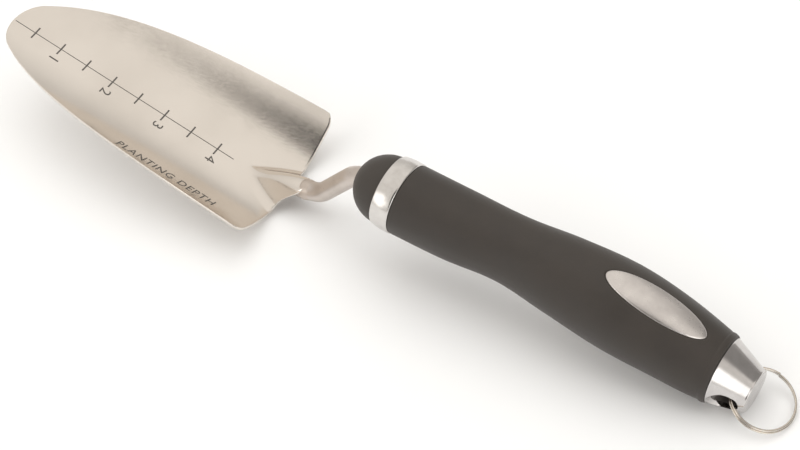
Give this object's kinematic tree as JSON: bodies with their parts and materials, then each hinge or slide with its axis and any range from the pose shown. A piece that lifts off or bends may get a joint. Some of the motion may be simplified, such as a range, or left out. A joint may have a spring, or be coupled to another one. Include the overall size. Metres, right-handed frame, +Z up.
{
  "type": "hand trowel",
  "caption": "Hand trowel with a deep rolled scoop blade, swan-neck shank, contoured soft grip with metal collar and oval inlay, and a hanging ring in its end cap.",
  "frame": {"origin": "centre of the bounding box, on the table under the trowel as it lies at rest", "axes": "+X from the blade's tip back along the handle to the ring, +Y across the blade, +Z up, the open side of the scoop"},
  "size_m": [0.3448, 0.0626, 0.0476],
  "materials": {
    "blade": "satin polished stainless, fine lengthwise grain, etched depth scale",
    "shank": "satin, lightly tumbled",
    "shank_weld": "blended and brushed weld",
    "tang_pin": "plain drawn steel",
    "handle_core": "moulded, unpolished",
    "nose_cap": "matte",
    "front_collar": "polished",
    "grip_sleeve": "matte, fine moulded texture",
    "thumb_inlay": "satin",
    "end_cap": "polished",
    "split_ring": "nickel plated spring steel"
  },
  "bodies": {
    "trowel": {"blade": "blade", "shank": "shank", "shank_weld": "shank_weld", "tang_pin": "tang_pin", "handle_core": "handle_core", "nose_cap": "nose_cap", "front_collar": "front_collar", "grip_sleeve": "grip_sleeve", "thumb_inlay": "thumb_inlay", "end_cap": "end_cap"},
    "ring": {"split_ring": "split_ring"}
  },
  "joints": [
    {"name": "ring_swing", "type": "hinge", "parent": "trowel", "child": "ring", "pos_m": [0.1513, 0, 0.00937], "axis": [0, -1, 0], "range_deg": [-75, 95]}
  ]
}
